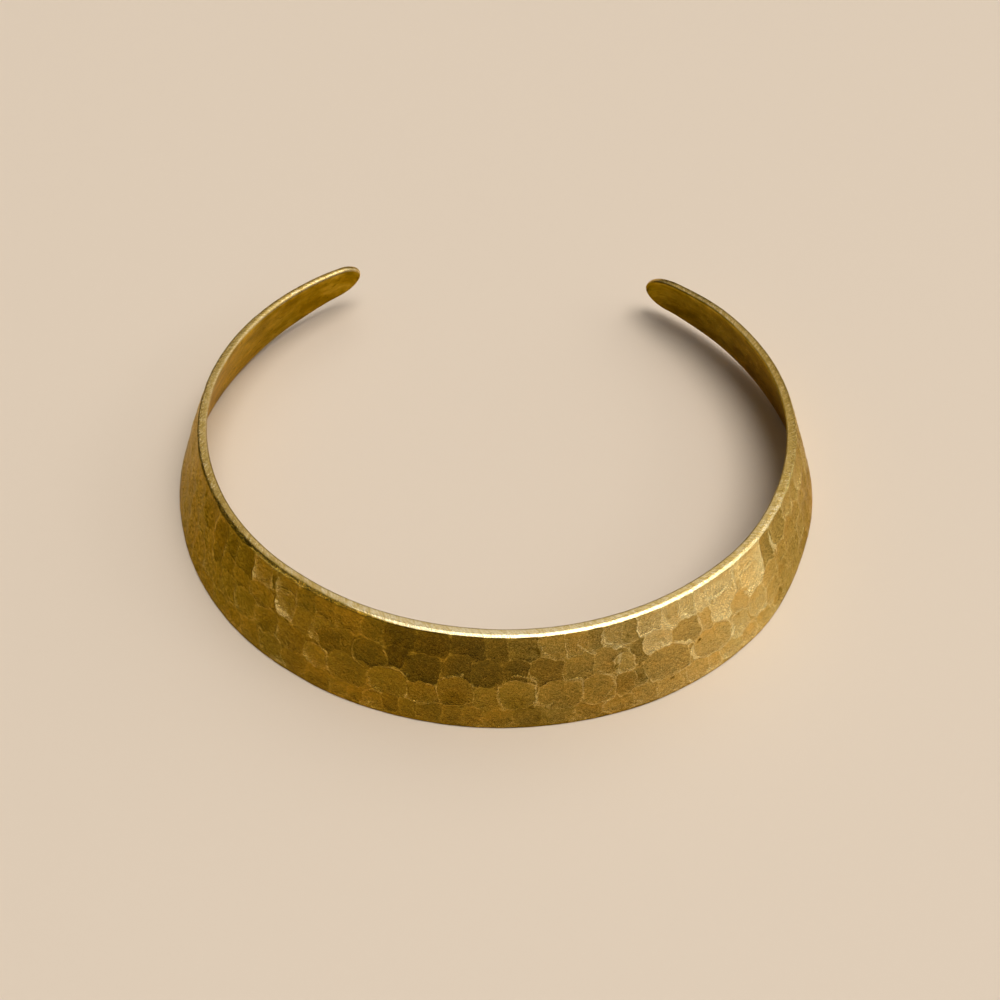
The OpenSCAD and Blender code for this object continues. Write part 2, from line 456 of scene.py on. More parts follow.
# %% [markdown]
# The two arms turn away from the camera, and their blows can't be told apart in the
# photograph. There the maker's rows simply go on, with every place, size, tone and crispness a
# little off, from seeded random numbers. The same rows also go over the front first, so that
# no gap between the charted blows is left unhammered.

# %% Blows along the arms
MID_R = 68.0
ROW_DEPTHS = (3.0, 8.2, 18.0, 13.2)
hand = random.Random(11)

loose_blows = []
for row, row_depth in enumerate(ROW_DEPTHS):
    angle = -math.degrees(TIP) - 2 + (row % 2) * 2.2
    while angle < math.degrees(TIP) + 2:
        depth_mm = row_depth + hand.uniform(-0.8, 0.8)
        half_wide, half_high = hand.uniform(2.5, 3.9), hand.uniform(2.7, 3.6)
        tone = hand.uniform(-0.9, 0.9)
        loose_blows.append((angle, depth_mm, half_wide, half_high, tone, hand.uniform(0.0, 0.7)))
        angle += hand.uniform(3.8, 5.2)
blows = tuple(loose_blows) + charted_blows
print("blows in all:", len(blows))

# %% [markdown]
# Where two blows meet at a steep angle, the metal between them stands up as a crest, and the
# light from the window runs along it. The brightest crests are charted as lines: half their
# width in mm, how bright they are from 0 to 1, then the corners of the line as an angle and
# mm below the rim.

# %% Chart of the crests
CRESTS = (
    (0.16, 0.5, (19, 1.3), (19.2, 3.8), (20, 4.5), (20.7, 4.9)),
    (0.3, 0.4, (21.9, 6.2), (21.6, 8), (21.1, 10.5), (21.4, 11.6), (22, 11.8)),
    (0.14, 0.9, (25, 1), (25.1, 3), (25.3, 4.9), (26.5, 4.8), (28.6, 4.7)),
    (0.34, 0.5, (30, 2.4), (30.3, 4), (31, 5.2), (31.9, 6.4)),
    (0.14, 0.8, (28.9, 9), (30.2, 9.2), (31.6, 9.1)),
    (0.14, 0.7, (29, 7.6), (29.7, 8.8)),
    (0.28, 0.6, (31.9, 9.1), (32.5, 10), (33.8, 10.9), (34.6, 10.8), (35.6, 11.8)),
    (0.3, 0.4, (36.8, 6), (37.3, 8.5), (37.7, 10)),
    (0.3, 0.5, (35.4, 12.3), (35, 14), (35.3, 15.6), (36.6, 16.2)),
    (0.26, 0.5, (33.8, 2.4), (33.9, 4.2), (34.8, 5.2), (36.5, 5.8)),
    (0.45, 0.5, (37.6, 0.4), (38.3, 2.5), (38, 4.2)),
    (0.14, 0.4, (15, 1.8), (14.6, 3.5), (16, 5), (17, 6)),
    (0.14, 0.3, (18.6, 20), (18.2, 18.2), (20, 16.6), (21.3, 17.6)),
    (0.24, 0.7, (39.7, 3.4), (39.6, 5.3), (40, 6.6), (40.4, 8)),
    (0.5, 1, (40.4, 8), (41, 9.3), (42, 10.3), (43.2, 11.5)),
    (0.24, 0.8, (43.3, 11.5), (43.8, 10.9), (44.1, 9.4)),
    (0.2, 0.8, (40, 4.2), (41, 4.4), (42.5, 4.7), (44, 4.3), (45.5, 5.4), (46.1, 5.8)),
    (0.28, 0.8, (45.8, 0.3), (46, 2.5), (46.2, 5), (46.4, 6.8)),
    (0.24, 0.7, (48.2, 0.4), (48, 2.5), (48.3, 4.3), (47.3, 5.5), (46.6, 6.9)),
    (0.36, 1, (54.3, 0.2), (54, 3), (54.1, 5), (54.5, 7), (54.3, 8.1), (53.4, 9)),
    (0.36, 0.8, (48, 8.1), (48.8, 9.1), (50.5, 9.5), (52.6, 9.6)),
    (0.3, 1, (58, 0.5), (58.3, 3), (58.6, 5.2), (59.4, 6.5), (59.8, 8), (59.9, 9.3)),
    (0.34, 0.4, (43.9, 12), (44.3, 13.5), (44.2, 15.2), (43.4, 16.2)),
    (0.24, 0.3, (53.6, 15.2), (52.4, 16.2), (52, 17.2)),
    (0.12, 0.9, (-48, 0.4), (-44, 0.5), (-38, 0.45), (-32, 0.35), (-28, 0.2)),
    (0.36, 0.9, (-45, 3), (-45, 5), (-44.7, 6.2), (-43.9, 6.2)),
    (0.24, 0.6, (-44, 5.8), (-42.5, 5.7), (-41.4, 5.3)),
    (0.3, 0.7, (-40.4, 2.4), (-40.6, 4.5), (-40, 5), (-39.4, 5.8)),
    (0.36, 0.9, (-39.1, 6.2), (-38.6, 7.6), (-38, 8.7), (-36.6, 8.8), (-35.2, 8.5)),
    (0.24, 0.6, (-38.6, 4.1), (-37.2, 4.4), (-36, 3.4)),
    (0.26, 0.5, (-35, 1.8), (-34.6, 4.5), (-34.4, 6.2)),
    (0.2, 0.8, (-57.8, 1), (-58.2, 3.6), (-57.9, 6.9)),
    (0.22, 0.6, (-53.7, 4.8), (-53.6, 6.5), (-53.9, 9.6)),
    (0.22, 0.6, (-57.4, 9.4), (-57, 11), (-56.5, 11.9)),
    (0.16, 0.6, (-50.2, 1.5), (-50, 3.9), (-49.9, 8.2)),
    (0.2, 0.6, (-48.8, 10.4), (-48.5, 12), (-48.1, 14), (-47.4, 14.9), (-46.1, 15.7)),
    (0.22, 0.6, (-37.8, 10.9), (-37.3, 13), (-37.5, 14.8), (-36.5, 15.5)),
    (0.18, 0.5, (-30.2, 10.8), (-28.6, 11.3), (-27.3, 11.8), (-27.2, 13.5), (-26.6, 15.3), (-25.9, 16.1)),
    (0.26, 0.4, (-22.8, 6.3), (-23, 8.5), (-22.6, 10), (-21.5, 11.3), (-20.1, 12.1)),
    (0.22, 0.4, (-18.1, 6.1), (-17.2, 6.8), (-16.9, 8.2), (-16.7, 9.9)),
    (0.15, 0.5, (-18.2, 10.2), (-16.3, 9.9), (-14.3, 10.3), (-13.2, 11.5)),
    (0.15, 0.4, (-13.2, 12.5), (-10.5, 12), (-8.3, 12), (-8.2, 13.5), (-7.9, 15.2)),
    (0.15, 0.5, (-8.1, 11.6), (-7, 9.8), (-5.2, 9.2), (-3.8, 9.6)),
    (0.15, 0.4, (-20, 17.6), (-19, 16.6), (-17.6, 16.3), (-16.6, 17.1)),
    (0.15, 0.4, (-12.8, 16.3), (-10.5, 16.8), (-8.4, 16.1), (-7.3, 16.7)),
    (0.3, 1, (-13.3, 10.5), (-13, 10.7)),
    (0.34, 1, (-4.4, 8.8), (-4.1, 9)),
    (0.16, 0.6, (2.3, 9.4), (4.4, 8.8), (6.6, 9.2), (7.6, 10.8), (7.5, 13), (7.6, 15), (9, 16.3)),
    (0.13, 0.4, (1.5, 10.4), (1.6, 13), (1.9, 14.9)),
    (0.16, 0.5, (6.3, 7.8), (7, 9.2), (8.3, 10.3)),
    (0.15, 0.4, (9, 16.7), (10.6, 15.5)),
    (0.18, 0.4, (8.4, 1.8), (8.6, 3.8), (10.1, 5.1)),
    (0.15, 0.5, (12, 10.4), (15.1, 11), (15.2, 13), (15, 14.6)),
    (0.15, 0.4, (16.4, 9.5), (18.5, 10.2), (20.2, 12), (20.6, 14), (19, 16.4), (18.1, 17.3)),
)
print("crests:", len(CRESTS))

# %% [markdown]
# The brown skin on the brass isn't equally thick everywhere. The first chart says how far it has been rubbed
# off, from 0 to 1: on the outside under the rim and near the lower edge, on the filed rim, and on the
# inside. On the outside of the right front its high values also paint in the sheen that those dishes catch
# from the window. The second chart says where the skin has turned redder or greener, and the third one
# places single stains and pits. All three follow the photograph.

# %% Charts of the wear, with a painted sheen on the right front
# angle in degrees, then the outside's upper part, its lower part, the rim and the inside
RUBBED_AND_SHEEN = (
    (-148, 0.52, 0.5, 0.22, 0.45), (-130, 0.52, 0.48, 0.16, 0.5), (-110, 0.52, 0.48, 0.2, 0.8),
    (-90, 0.52, 0.46, 0.24, 0.8), (-78, 0.4, 0.34, 0.24, 0.55), (-62, 0.14, 0.09, 0.18, 0.4),
    (-50, 0.03, 0.1, 0.26, 0.35), (-35, 0.05, 0.15, 0.42, 0.3), (-18, 0.03, 0.06, 0.52, 0.3),
    (0, 0.24, 0.18, 0.58, 0.4), (12, 0.42, 0.33, 0.54, 0.6), (22, 0.6, 0.46, 0.46, 0.62),
    (32, 0.88, 0.68, 0.44, 0.62), (42, 1, 0.8, 0.42, 0.62), (52, 1, 0.83, 0.4, 0.62),
    (62, 0.72, 0.62, 0.36, 0.8), (75, 0.65, 0.54, 0.18, 1), (90, 0.6, 0.52, 0.06, 1),
    (105, 0.54, 0.5, 0.06, 0.95), (118, 0.52, 0.5, 0.24, 0.8), (135, 0.52, 0.5, 0.22, 0.52),
    (148, 0.52, 0.5, 0.2, 0.4),
)
# angle in degrees, then how much redder (or greener, below zero) the upper and the lower part are
TINT = (
    (-148, 0, 0), (-75, -0.2, -0.4), (-58, -0.3, -0.7), (-42, -0.4, -0.4), (-28, 0.3, 0.3),
    (-12, -0.6, 0.4), (2, -0.5, -0.05), (18, -0.4, 0.1), (32, -0.2, 0.3), (47, 0.6, -0.2), (62, -1, -1),
    (80, -0.8, -0.8), (148, 0, 0),
)
# angle in degrees, mm below the rim, radius in mm and darkness of single stains and pits
STAINS = (
    (36.7, 12.1, 0.4, 1), (24.7, 14, 0.6, 0.35), (25.2, 15.2, 0.4, 0.3), (30.4, 17.1, 0.35, 0.7),
    (-13.6, 6.2, 1.1, 0.35), (-15.6, 6, 0.8, 0.4), (6.9, 16.2, 0.5, 0.7), (23.1, 3.9, 0.4, 0.2),
    (22.3, 6.1, 0.4, 0.25), (8.2, 3.4, 0.9, 0.25), (-45.6, 5.2, 1.2, 0.2), (8.4, 19.2, 1.6, 0.15),
    (-47.8, 18.4, 0.5, 0.5), (31.2, 3.2, 0.35, 0.25), (45.8, 12, 0.45, 0.5), (58.6, 17.2, 1.1, 0.2),
    (17.2, 1.8, 0.5, 0.2), (20.9, 9.8, 0.7, 0.5), (25, 10.8, 0.5, 0.55), (-5.4, 14.6, 2.2, 0.18),
    (4.6, 15.4, 2.2, 0.15), (-39.9, 14, 2, 0.12), (-70.9, 17.2, 1, 0.25), (-75.8, 8.3, 1, 0.2),
)
print("rows in the wear chart:", len(RUBBED_AND_SHEEN), "stains:", len(STAINS))

# %% [markdown]
# A polished hammer with a slightly domed face presses a shallow dish. Each blow is laid over
# the surface that the earlier ones have left: a level is fitted to the metal round its outline,
# the dish is sunk from there, and a fine lip of metal is pushed up at its edge. That gives the
# facets, some whole and some cut into by their neighbours. A blow with a bright tone also leans
# a little towards the light. Four things are kept besides the height, because the finish needs
# them later: how far a point lies from the nearest lip, how crisp that lip is, and the tone and
# warmth of the last blow.

# %% Lay down the blows
# all in mm: how deep a dish of the usual half width is, and over what width its edges fade
DISH_DEEP, USUAL_HALF = 0.24, 3
EDGE_SOFT, TONE_SOFT = 0.26, 0.24
LIP_HIGH, LIP_WIDE, LIP_FIELD = 0.02, 0.26, 0.6
FAR_FROM_LIP = 9.0
# how square an outline is, where 2 would be an oval, how far askew, and how far bright blows lean
SQUARENESS = (2.2, 3.6)
ASKEW = 0.22
TILT = 0.028
# how closely a dish follows the height and the two slopes of the metal round it
FOLLOWS = (0.85, 0.6, 0.6)
RING_WIDE, RING_POINTS = 0.15, 12
# a blow is felt so many half widths away, and strays so much in tone and warmth
FELT = 1.5
TONE_STRAYS, WARMTH_STRAYS = 0.25, 0.4
# the stretch, in degrees, where the blows differ most in tone
LEFT_FRONT = (-90, -75, -40, -25)


def hammered(arc, down):
    """Height in mm, mm to the nearest lip, its crispness, tone and warmth, on the unrolled outside."""
    shape = random.Random(5)
    height, lip, tone, warm = np.zeros((4, len(arc)))
    to_lip = np.full(len(arc), FAR_FROM_LIP)
    for angle, depth_mm, half_wide, half_high, shine, crisp in blows:
        squareness = shape.uniform(*SQUARENESS)
        on_left = along_ring(angle, *LEFT_FRONT)
        shine += shape.uniform(-TONE_STRAYS, TONE_STRAYS) * (1 + on_left * 1.6)
        crisp = min(1, 0.2 + crisp * 0.8 + on_left * 0.15)
        askew = shape.uniform(-ASKEW, ASKEW)
        x = (arc - math.radians(angle) * MID_R) / half_wide
        y = (down - depth_mm) / half_high
        near = np.flatnonzero((np.abs(x) < FELT) & (np.abs(y) < FELT))
        x, y = x[near] + askew * y[near], y[near] - askew * x[near]
        reach = (np.abs(x) ** squareness + np.abs(y) ** squareness) ** (1 / squareness)
        round_it = np.abs(reach - 1) < RING_WIDE
        if round_it.sum() < RING_POINTS:
            continue
        # the metal round the outline gives the level from which the dish is sunk
        level = np.column_stack((np.ones(len(near)), x, y))
        fitted = np.linalg.lstsq(level[round_it], height[near][round_it], rcond=None)[0]
        size = (half_wide + half_high) / 2
        sunk = DISH_DEEP * (1 - reach ** 2) * size / USUAL_HALF
        dish = level @ (fitted * FOLLOWS) - sunk - TILT * shine * y
        inward_mm = (1 - reach) * size
        height[near] = mixed(height[near], dish, soft_step(inward_mm / EDGE_SOFT + 0.5))
        # the tone is lighter towards the dish's outline, where cloth has polished it, and lighter on its
        # lower left side as painted shading, most of all on the left front
        in_tone = soft_step(inward_mm / TONE_SOFT + 0.5)
        painted_facet_shading = 0.5 * np.clip(reach, 0, 1.1) ** 3 + 0.4 * (y - x * 0.6)
        tone[near] = mixed(tone[near], shine + painted_facet_shading * (1 + on_left * 0.7), in_tone)
        warm[near] = mixed(warm[near], shape.uniform(-WARMTH_STRAYS, WARMTH_STRAYS), in_tone)
        nearer = (inward_mm > 0) | (-inward_mm < np.abs(to_lip[near]))
        to_lip[near] = np.where(nearer, inward_mm, to_lip[near])
        new_lip = crisp * np.clip(1 - np.abs(inward_mm) / LIP_FIELD, 0, 1)
        lip[near] = np.where(nearer, new_lip, lip[near])
    ridge = np.exp(-(to_lip / LIP_WIDE) ** 2)
    return height + LIP_HIGH * ridge * (0.3 + lip), to_lip, lip, tone, warm


print("a usual dish is mm deep:", DISH_DEEP)

# %% [markdown]
# A crest is a fold between two dishes: it swells in its middle and thins out to both ends. Its
# line has a few straight pieces, and a point belongs to the piece that it lies nearest to.

# %% Find the crests
CREST_FADES = 3


def near_crests(arc, down):
    """Nearness to the charted crests, from 1 on one to 0 three half widths away, and brightness."""
    near, bright = np.zeros((2, len(arc)))
    for half_width, brightness, *corners in CRESTS:
        line = [(math.radians(angle) * MID_R, depth_mm) for angle, depth_mm in corners]
        pieces = len(line) - 1
        for number, ((x0, y0), (x1, y1)) in enumerate(zip(line, line[1:])):
            run, fall = x1 - x0, y1 - y0
            along = ((arc - x0) * run + (down - y0) * fall) / (run ** 2 + fall ** 2)
            along = np.clip(along, 0, 1)
            apart = np.hypot(arc - x0 - along * run, down - y0 - along * fall)
            swell = 0.45 + 0.75 * np.sin(math.pi * (number + along) / pieces)
            nearness = np.clip(1 - apart / (CREST_FADES * half_width * swell), 0, 1)
            bright = np.where(nearness > near, brightness * np.clip(swell, 0, 1), bright)
            near = np.maximum(near, nearness)
    return near, bright


print("corners in the longest crest:", max(len(crest) - 2 for crest in CRESTS))

# %% [markdown]
# The section's corners are arcs, and the chart of the filed corners says how far each one
# reaches into the wall and down its face. Outside at the rim the file has cut a flat chamfer in
# places. There a point's share of the way round the corner becomes its share of the way along
# the flat. The corners of the lower edge are small and alike, and only at the tips, where the
# file went all the way round, do they grow as large as the rim's.

# %% Corners of the section
LOWER_ROUND = 0.35 * MM
FLAT_FROM, FLAT_SOFT = 0.42 * MM, 0.06 * MM
# degrees from the front at which the tips' filed corners begin, and over how many they grow
TIP_FROM, TIP_SOFT = 132, 12

angle_at = angles[column]
degrees_at = np.degrees(angle_at)
upper_half = section_z > WIDTH / 2
on_outer = deep < 0.5
at_tip = soft_step((np.abs(degrees_at) - TIP_FROM) / TIP_SOFT)
rim_corners = [chart(FILED_CORNERS, entry, angle_at) * MM for entry in (1, 2, 3)]
lower_corners = [mixed(LOWER_ROUND, filed, at_tip) for filed in rim_corners]
corner_in, inner_round = (
    np.where(upper_half, rim_corners[entry], lower_corners[entry]) for entry in (1, 2))

corner_deep = CORNER / WALL
outer_share = np.clip(deep / corner_deep, 0, 1)
inner_share = np.clip((1 - deep) / corner_deep, 0, 1)
end_share = np.minimum(np.where(upper_half, WIDTH - section_z, section_z), CORNER) / CORNER
way_round = np.arctan2(1 - end_share, 1 - np.where(on_outer, outer_share, inner_share)) * 2 / math.pi
flat = soft_step((rim_corners[1] - FLAT_FROM) / FLAT_SOFT) * upper_half * on_outer
outer_share = mixed(outer_share, soft_step(way_round), flat)
end_share = mixed(end_share, 1 - soft_step(way_round), flat)
print("points on a filed flat:", int((flat > 0.5).sum()))

# %% [markdown]
# Now every point finds its place in a smooth band. The corners narrow the straight middle of
# the wall, and they draw their points back along the directions out of the outline. The rows
# between share out what is left of the height. Three measures of the place are kept, all in mm
# on the unrolled band: the way along it, down from the rim and up from the lower edge.

# %% Places in the smooth band
middle_share = np.clip((deep - corner_deep) / (1 - 2 * corner_deep), 0, 1)
deep_now = mixed(corner_in / WALL, 1 - inner_round / WALL, middle_share)
deep_now = np.where(deep <= corner_deep, outer_share * corner_in / WALL, deep_now)
deep_now = np.where(deep >= 1 - corner_deep, 1 - inner_share * inner_round / WALL, deep_now)
top_down, bottom_down = (
    np.where(on_outer, corners[0], corners[2]) for corners in (rim_corners, lower_corners))
back_top = top_down * np.where(upper_half, end_share, 1)
back_bottom = bottom_down * np.where(upper_half, 1, end_share)
row_share = np.clip((section_z - CORNER) / (WIDTH - 2 * CORNER), 0, 1)

thick = WALL / math.cos(FLARE)
_, top_at, bottom_at = outline(angle_at, deep_now * thick)
back_along = mixed(back_bottom * bottom_along[column], back_top * top_along[column], row_share)
place_angle = angle_at - np.sign(angle_at) * back_along / tip_r
place_z = mixed(
    bottom_at - back_bottom * bottom_up[column], top_at - back_top * top_up[column], row_share)

MM_DOWN = MM * math.cos(FLARE)
arc = place_angle * MID_R
down = (top_at - place_z) / MM_DOWN
above_edge = (place_z - bottom_at) / MM_DOWN
outside = np.clip(1 - deep_now / 0.4, 0, 1)
print("unrolled, the band is mm long:", round(float(np.ptp(arc)), 1), "wide:", round(float(down.max()), 1))

# %% [markdown]
# No blow leaves a perfect outline, so the places are bent by smooth random numbers before they
# are looked up in the charts, for the crests less than for the blows. Then the heights move the
# outside. Near the edges the file has evened them out. The band also bulges a little between
# its edges, its inside swells unevenly, and all of it is as far out of round as charted.

# %% Hammer the outside
# in mm; the last makes up on average for the metal that the dishes have sunk
CREST_HIGH, CROWN, SWELL, OUT_AGAIN = 0.03, 0.18, 0.06, 0.05
# the share of the relief that is left at the edges
EDGES_KEEP = 0.25

wide_arc, wide_down = (wander(arc, down, seed, 2.6) for seed in (1.5, 7.5))
fine_arc, fine_down = (wander(arc, down, seed, 1.1) for seed in (4.5, 9.5))
bent_arc = arc + 0.6 * wide_arc + 0.4 * fine_arc
bent_down = down + 0.6 * wide_down + 0.4 * fine_down
dish, to_lip, lip, tone, warm = hammered(bent_arc, bent_down)
crest_near, crest_bright = near_crests(
    arc + 0.05 * wide_arc + 0.2 * fine_arc, down + 0.24 * wide_down + 0.16 * fine_down)
crest_near *= outside
dish += CREST_HIGH * crest_bright * np.clip(crest_near * 1.5 - 0.5, 0, 1)

off_edges = soft_step(down / 1.6) * soft_step(above_edge / 2.2)
relief_mm = (dish + OUT_AGAIN) * mixed(EDGES_KEEP, 1, off_edges)
crown = np.clip(1 - (2 * row_share - 1) ** 2, 0, 1) * CROWN
swell = wander(arc, down, 3.5, 9.0) * SWELL
# in the last column of each tip the upper rows lie on the lower ones, so there they stray alike
stray_share = np.where(column % COLUMNS == 0, 0.5, row_share)
off_round = mixed(chart(OUT_OF_ROUND, 2, angle_at), chart(OUT_OF_ROUND, 1, angle_at), stray_share)
radius_now = outer_r(place_z) - deep_now * thick
radius_now += MM * ((relief_mm + crown) * outside / math.cos(FLARE) + (swell + crown) * deep_now + off_round)
on_face = deep_now == 0
print("dishes mm:", round(float(dish[on_face].min()), 3), "to", round(float(dish[on_face].max()), 3))

# %% [markdown]
# The wear is worked out for every point in the same way, from its place in the band. The file's
# bright metal reaches over the whole chamfer in front, but only over its upper edge where the
# chamfer is steep. Along the wearer's right side the inner corner has been polished by the neck.
# Close to the table at the front the colour is darkened as a painted contact shadow.

# %% Wear, and painted contact shade, at every point
# stretches of the ring in degrees, as along_ring takes them
CHAMFER_SHINES = (-26, -14, 64, 72)
CHAMFER_STEEP = (-74, -64, -30, -24)
NECK_RUBS = (-180, -170, -80, -68)

low_share = np.clip(down / 15, 0, 1)
inside = np.clip(deep_now * 2 - 0.5, 0, 1)
filed_front = along_ring(degrees_at, *CHAMFER_SHINES) * on_outer
steep_chamfer = along_ring(degrees_at, *CHAMFER_STEEP) * on_outer
worn_inner = along_ring(degrees_at, *NECK_RUBS) * (1 - on_outer)
filed_from = 0.55 - 0.53 * filed_front + 0.25 * steep_chamfer - 0.3 * worn_inner
on_edge = soft_step((way_round - filed_from) / 0.3) * np.where(upper_half, 1, at_tip)
in_corner = soft_step(way_round / 0.2) * (1 - soft_step((way_round - 0.8) / 0.2))
polished = (0.14 * filed_front + 0.26 * worn_inner) * in_corner

# on the outside of the right front the wear values are in part a painted sheen of the window
rub_upper_and_sheen, rub_lower_and_sheen, rub_rim, rub_inside = (chart(RUBBED_AND_SHEEN, entry, angle_at) for entry in (1, 2, 3, 4))
rubbed_and_sheen = mixed(rub_upper_and_sheen, rub_lower_and_sheen, low_share) + 0.16 * np.clip(tone - 1, 0, 2) * outside
rubbed_and_sheen = mixed(mixed(rubbed_and_sheen, rub_inside, inside), rub_rim + polished, on_edge)

# a painted contact shadow along the lower edge at the front, kept with the real stains and pits
painted_contact_shade = np.clip(np.cos(angle_at) * 1.5, 0, 1) * (1 - soft_step(above_edge / 0.9))
stains_and_contact_shade = 0.55 * painted_contact_shade
for stain_angle, stain_down, stain_r, dark in STAINS:
    apart = np.hypot(bent_arc - math.radians(stain_angle) * MID_R, bent_down - stain_down)
    stains_and_contact_shade = np.maximum(stains_and_contact_shade, dark * soft_step((stain_r - apart) / (0.7 * stain_r) + 0.3))
tint = mixed(chart(TINT, 1, angle_at), chart(TINT, 2, angle_at), low_share)
turned_away = np.clip(1 - np.cos(angle_at), 0, 0.6)
turned_away *= 1 - 0.7 * soft_step((np.abs(degrees_at) - 78) / 20)
print("rubbed:", round(float(rubbed_and_sheen.min()), 2), "to", round(float(rubbed_and_sheen.max()), 2))

# %% [markdown]
# The points go back into the mesh, and every measure that the finish needs becomes an
# attribute. In the last column of each tip the upper rows have come to lie on the lower ones,
# so the doubles there are merged, which closes the band. Spinning can leave the faces turned
# inwards, so the normals are worked out again once the mesh is closed.

# %% Put the points in place and close the tips
SAME_PLACE = 0.002 * MM
unfiled = 1 - on_edge
for name, values in (
    ("blow_tone", tone / 3 * outside * unfiled),
    ("warmth", warm * outside * unfiled + tint),
    ("turned_away", turned_away),
    ("lip", lip * outside * unfiled),
    ("stains_and_contact_shade", stains_and_contact_shade * outside * unfiled),
    ("to_lip", to_lip),
    ("crest", crest_near * unfiled),
    ("crest_bright", crest_bright),
    ("filed", on_edge),
    ("inside", inside),
    ("rubbed_and_sheen", np.clip(rubbed_and_sheen, 0, 1)),
):
    collar.data.attributes.new(name, "FLOAT", "POINT").data.foreach_set("value", values)
unrolled = collar.data.attributes.new("unrolled", "FLOAT_VECTOR", "POINT")
unrolled.data.foreach_set("vector", np.column_stack((arc, down, deep_now * WALL / MM)).ravel())

place_x = radius_now * np.sin(place_angle)
place_y = RING_Y - radius_now * np.cos(place_angle)
collar.data.vertices.foreach_set("co", np.column_stack((place_x, place_y, place_z)).ravel())
collar.data.update()

deselect_all()
collar.select_set(True)
bpy.ops.object.mode_set(mode="EDIT")
bpy.ops.mesh.select_mode(type="VERT")
bpy.ops.mesh.select_all(action="SELECT")
bpy.ops.mesh.remove_doubles(threshold=SAME_PLACE)
bpy.ops.mesh.select_all(action="SELECT")
bpy.ops.mesh.normals_make_consistent(inside=False)
bpy.ops.mesh.select_all(action="DESELECT")
bpy.ops.mesh.select_non_manifold()
bpy.ops.object.mode_set(mode="OBJECT")
open_points = sum(v.select for v in collar.data.vertices)
bpy.ops.object.shade_smooth()
triangles = sum(len(f.vertices) - 2 for f in collar.data.polygons)
print("points on open edges:", open_points, "triangles:", triangles)

# %% [markdown]
# The finish is written as sums on sockets. A small class wraps one output of a shader node, so
# that `1 - crest * 0.5` adds the Math nodes by itself. A second one stands for a material, and
# every node in it comes from one method that takes the node's type, settings and inputs.

# %% Helpers for shader maths


class Shade:
    """One output of a shader node, to be added, multiplied and so on."""

    def __init__(self, bench, socket):
        self.bench = bench
        self.socket = socket

    def maths(self, operation, *values):
        """A Math node on the values."""
        return self.bench.node("ShaderNodeMath", {"operation": operation}, dict(enumerate(values)))

    def __add__(self, other):
        return self.maths("ADD", self, other)

    __radd__ = __add__

    def __sub__(self, other):
        return self.maths("SUBTRACT", self, other)

    def __rsub__(self, other):
        return self.maths("SUBTRACT", other, self)

    def __mul__(self, other):
        return self.maths("MULTIPLY", self, other)

    def unsigned(self):
        """The same value without its sign."""
        return self.maths("ABSOLUTE", self)

    def held(self):
        """The same value, kept between 0 and 1."""
        return self.bench.node("ShaderNodeClamp", {}, {0: self})

    def between(self, start, end):
        """A soft step from 0 at start to 1 at end."""
        inputs = {0: self, 1: start, 2: end, 3: 0, 4: 1}
        return self.bench.node("ShaderNodeMapRange", {"interpolation_type": "SMOOTHSTEP"}, inputs)


class Bench:
    """A material, or the world, and the nodes laid out in it."""

    def __init__(self, name, tree=None):
        if tree is None:
            self.material = bpy.data.materials.new(name)
            self.material.use_nodes = True
            tree = self.material.node_tree
        self.tree = tree
        self.tree.nodes.clear()

    def node(self, kind, settings, inputs, output=0):
        """A new node with its settings made and its inputs set or linked; gives one output."""
        made = self.tree.nodes.new(kind)
        for setting, value in settings.items():
            setattr(made, setting, value)
        for socket, value in inputs.items():
            if isinstance(value, Shade):
                self.tree.links.new(value.socket, made.inputs[socket])
            else:
                made.inputs[socket].default_value = value
        return Shade(self, made.outputs[output])

    def deliver(self, surface, kind="ShaderNodeOutputMaterial"):
        """Sends the finished surface to the output."""
        end = self.tree.nodes.new(kind)
        self.tree.links.new(surface.socket, end.inputs["Surface"])

    def attribute(self, name, output="Fac"):
        """A measure kept on the mesh."""
        return self.node("ShaderNodeAttribute", {"attribute_name": name}, {}, output)

    def parts(self, vector):
        """The x, y and z of a vector."""
        return [self.node("ShaderNodeSeparateXYZ", {}, {0: vector}, axis) for axis in range(3)]

    def cloud(self, vector, scale, detail, rough, bend=0.0, squeeze=None):
        """A cloud of noise that wanders about zero, from -0.5 to 0.5."""
        if squeeze:
            vector = self.node("ShaderNodeVectorMath", {"operation": "MULTIPLY"}, {0: vector, 1: squeeze})
        inputs = {"Vector": vector, "Scale": scale, "Detail": detail, "Roughness": rough, "Distortion": bend}
        return self.node("ShaderNodeTexNoise", {}, inputs) - 0.5

    def blend(self, share, first, second, how="MIX"):
        """Two colours mixed by a share."""
        settings = {"data_type": "RGBA", "blend_type": how}
        return self.node("ShaderNodeMix", settings, {0: share, 6: first, 7: second}, 2)

    def ramp(self, value, stops):
        """A colour looked up between stops, each a position and a colour."""
        shade = self.node("ShaderNodeValToRGB", {}, {0: value})
        elements = shade.socket.node.color_ramp.elements
        while len(elements) < len(stops):
            elements.new(1.0)
        for element, (position, colour) in zip(elements, stops):
            element.position = position
            element.color = (*colour, 1)
        return shade


print("helpers ready")

# %% [markdown]
# Brass that has been worn for years is not one colour. In the dishes a thin brown skin has
# grown, olive in some places and golden in others. On the crests and on the filed edges,
# where cloth and skin rub, the bare metal shows. The inside is smooth and evenly tarnished.
# Three clouds of different sizes give the skin its texture. Towards the sides, where the band
# is seen aslant, a rougher one joins them, and most of all where the skin is thick.

# %% The brass
brass = Bench("worn_brass")
spot_on_band = brass.attribute("unrolled", "Vector")
# the stain measure holds the real stains and pits and the painted contact shadow near the table
blow_tone, edge_filed, inner_side, rubbed_off_and_sheen, stain_and_shade_mask = (
    brass.attribute(name) for name in ("blow_tone", "filed", "inside", "rubbed_and_sheen", "stains_and_contact_shade"))

